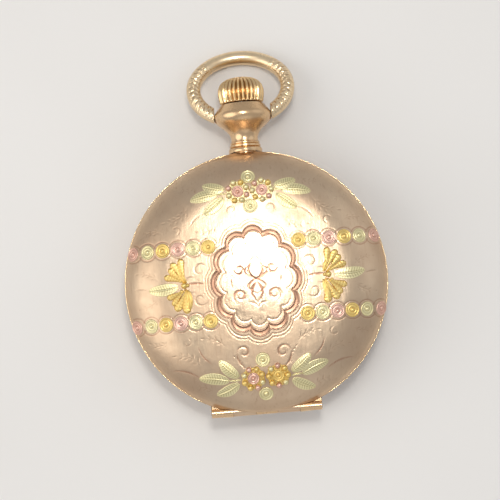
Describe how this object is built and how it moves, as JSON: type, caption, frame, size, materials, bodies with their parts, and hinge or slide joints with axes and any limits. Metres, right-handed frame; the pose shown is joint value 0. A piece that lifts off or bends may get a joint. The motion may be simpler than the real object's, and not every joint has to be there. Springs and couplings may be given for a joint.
{
  "type": "fob watch",
  "caption": "Closed hunter-case fob watch with coloured-gold trim on its lid, a winding crown in a pendant, a swivelling bow and a complete hand-wound movement.",
  "frame": {"origin": "centre of the back cover's flat table, where the watch rests", "axes": "+Z out of the front cover, +Y towards the pendant and crown, +X to the right seen from the front"},
  "size_m": [0.0418, 0.0596, 0.0136],
  "materials": {
    "case_gold": "satin rose-yellow gold, worn brighter on the high places",
    "lid_gold": "engraved satin gold",
    "inner_gold": "polished gold",
    "rose_gold": "chased rose gold",
    "green_gold": "chased pale green gold",
    "yellow_gold": "chased yellow gold",
    "crystal_glass": "clear, domed",
    "dial_enamel": "fired white enamel on copper",
    "nickel": "nickel plate, damaskeened",
    "wheel_brass": "gilt brass",
    "steel": "polished steel",
    "blued_steel": "heat-blued steel",
    "ruby": "polished synthetic ruby"
  },
  "bodies": {
    "case": {"case_centre": "case_gold", "pendant": "case_gold", "pendant_sleeve": "steel", "bezel": "inner_gold", "crystal": "crystal_glass", "case_springs": "steel", "front_hinge_pin": "steel", "back_hinge_pin": "steel", "dust_hinge_pin": "steel", "dial": "dial_enamel", "main_plate": "nickel", "train_bridge": "nickel", "barrel_bridge": "nickel", "balance_cock": "nickel", "pallet_cock": "nickel", "jewels": "ruby", "bridge_screws": "blued_steel", "case_screws": "blued_steel", "winding_screws": "blued_steel", "click_spring": "steel"},
    "lid": {"front_cover": "lid_gold", "cartouche_frame": "rose_gold", "rosettes_rose": "rose_gold", "rosettes_green": "green_gold", "rosettes_yellow": "yellow_gold", "flower_bosses": "rose_gold", "flower_beads": "yellow_gold", "leaves_green": "green_gold", "leaves_yellow": "yellow_gold"},
    "back": {"back_cover": "lid_gold"},
    "dust": {"dust_cover": "inner_gold"},
    "bow": {"bow": "case_gold"},
    "catch": {"lid_catch": "steel"},
    "winding": {"winding_pinion": "steel"},
    "crown": {"crown": "case_gold", "stem": "steel"},
    "crown_wheel": {"crown_wheel": "steel"},
    "ratchet": {"ratchet_wheel": "steel", "barrel_arbor": "steel"},
    "click": {"click": "steel"},
    "minute": {"cannon_pinion": "steel", "minute_hand": "blued_steel"},
    "hour": {"hour_wheel": "wheel_brass", "hour_hand": "blued_steel"},
    "motion": {"minute_wheel": "wheel_brass"},
    "fourth": {"fourth_wheel": "wheel_brass", "seconds_hand": "blued_steel"},
    "third": {"third_wheel": "wheel_brass"},
    "centre": {"centre_wheel": "wheel_brass"},
    "barrel": {"barrel": "wheel_brass", "mainspring": "blued_steel"},
    "escape": {"escape_wheel": "steel"},
    "balance": {"balance_wheel": "wheel_brass", "balance_screws": "yellow_gold", "balance_staff": "steel", "hairspring": "blued_steel"},
    "pallet": {"pallet_fork": "steel", "pallet_stones": "ruby"},
    "regulator": {"regulator": "steel"}
  },
  "joints": [
    {"name": "lid_hinge", "type": "hinge", "parent": "case", "child": "lid", "pos_m": [0, -0.0202, 0.0087], "axis": [1, 0, 0], "range_deg": [0, 95]},
    {"name": "back_hinge", "type": "hinge", "parent": "case", "child": "back", "pos_m": [0, -0.0202, 0.0049], "axis": [-1, 0, 0], "range_deg": [0, 100]},
    {"name": "dust_hinge", "type": "hinge", "parent": "case", "child": "dust", "pos_m": [0, -0.01875, 0.00445], "axis": [-1, 0, 0], "range_deg": [0, 80.5]},
    {"name": "bow_swing", "type": "hinge", "parent": "case", "child": "bow", "pos_m": [0, 0.02705, 0.0068], "axis": [1, 0, 0], "range_deg": [-66, 123]},
    {"name": "catch_slide", "type": "slide", "parent": "case", "child": "catch", "axis": [0, 1, 0], "range_m": [-0.0004, 0], "stiffness_N_per_m": 100},
    {"name": "crown_turn", "type": "hinge", "parent": "case", "child": "winding", "pos_m": [0, 0.0137, 0.0068], "axis": [0, 1, 0], "continuous": true},
    {"name": "crown_pull", "type": "slide", "parent": "winding", "child": "crown", "axis": [0, 1, 0], "range_m": [-0.00015, 0.0009]},
    {"name": "crown_wheel_turn", "type": "hinge", "parent": "case", "child": "crown_wheel", "pos_m": [0, 0.0104, 0.0032], "axis": [0, 0, 1], "continuous": true},
    {"name": "ratchet_turn", "type": "hinge", "parent": "case", "child": "ratchet", "pos_m": [-0.00677, 0.00388, 0.0032], "axis": [0, 0, 1], "continuous": true},
    {"name": "click_turn", "type": "hinge", "parent": "case", "child": "click", "pos_m": [-0.0068, -0.0034, 0.003], "axis": [0, 0, -1], "range_deg": [0, 12], "stiffness_Nm_per_rad": 0.000001},
    {"name": "minute_turn", "type": "hinge", "parent": "case", "child": "minute", "pos_m": [0, 0, 0.009], "axis": [0, 0, -1], "continuous": true},
    {"name": "hour_turn", "type": "hinge", "parent": "case", "child": "hour", "pos_m": [0, 0, 0.009], "axis": [0, 0, -1], "continuous": true},
    {"name": "motion_turn", "type": "hinge", "parent": "case", "child": "motion", "pos_m": [-0.00177, -0.00177, 0.0083], "axis": [0, 0, -1], "continuous": true},
    {"name": "fourth_turn", "type": "hinge", "parent": "case", "child": "fourth", "pos_m": [0.008, 0, 0.006], "axis": [0, 0, -1], "continuous": true},
    {"name": "third_turn", "type": "hinge", "parent": "case", "child": "third", "pos_m": [0.00455, 0.00247, 0.006], "axis": [0, 0, -1], "continuous": true},
    {"name": "centre_turn", "type": "hinge", "parent": "case", "child": "centre", "pos_m": [0, 0, 0.006], "axis": [0, 0, -1], "continuous": true},
    {"name": "barrel_turn", "type": "hinge", "parent": "case", "child": "barrel", "pos_m": [-0.00677, 0.00388, 0.006], "axis": [0, 0, -1], "continuous": true, "deforming": ["mainspring"]},
    {"name": "escape_turn", "type": "hinge", "parent": "case", "child": "escape", "pos_m": [0.00832, -0.00365, 0.006], "axis": [0, 0, -1], "continuous": true},
    {"name": "balance_swing", "type": "hinge", "parent": "case", "child": "balance", "pos_m": [0.0046, -0.0098, 0.005], "axis": [0, 0, 1], "range_deg": [-135, 135], "stiffness_Nm_per_rad": 0.000002, "deforming": ["hairspring"]},
    {"name": "pallet_swing", "type": "hinge", "parent": "case", "child": "pallet", "pos_m": [0.00677, -0.00622, 0.006], "axis": [0, 0, 1], "range_deg": [-5.5, 5.5]},
    {"name": "regulator_turn", "type": "hinge", "parent": "case", "child": "regulator", "pos_m": [0.0046, -0.0098, 0.003], "axis": [0, 0, 1], "range_deg": [-15, 15]}
  ],
  "couplings": [
    {"joint": "dust_hinge", "follows": "back_hinge", "ratio": 0.8},
    {"joint": "crown_wheel_turn", "follows": "crown_turn", "ratio": 0.5},
    {"joint": "ratchet_turn", "follows": "crown_turn", "ratio": -0.32456},
    {"joint": "hour_turn", "follows": "minute_turn", "ratio": 0.083333},
    {"joint": "motion_turn", "follows": "minute_turn", "ratio": -0.33333},
    {"joint": "third_turn", "follows": "fourth_turn", "ratio": -0.13333},
    {"joint": "centre_turn", "follows": "fourth_turn", "ratio": 0.016667},
    {"joint": "barrel_turn", "follows": "fourth_turn", "ratio": -0.0023148},
    {"joint": "escape_turn", "follows": "fourth_turn", "ratio": -10},
    {"joint": "pallet_swing", "follows": "balance_swing", "ratio": -0.04}
  ]
}
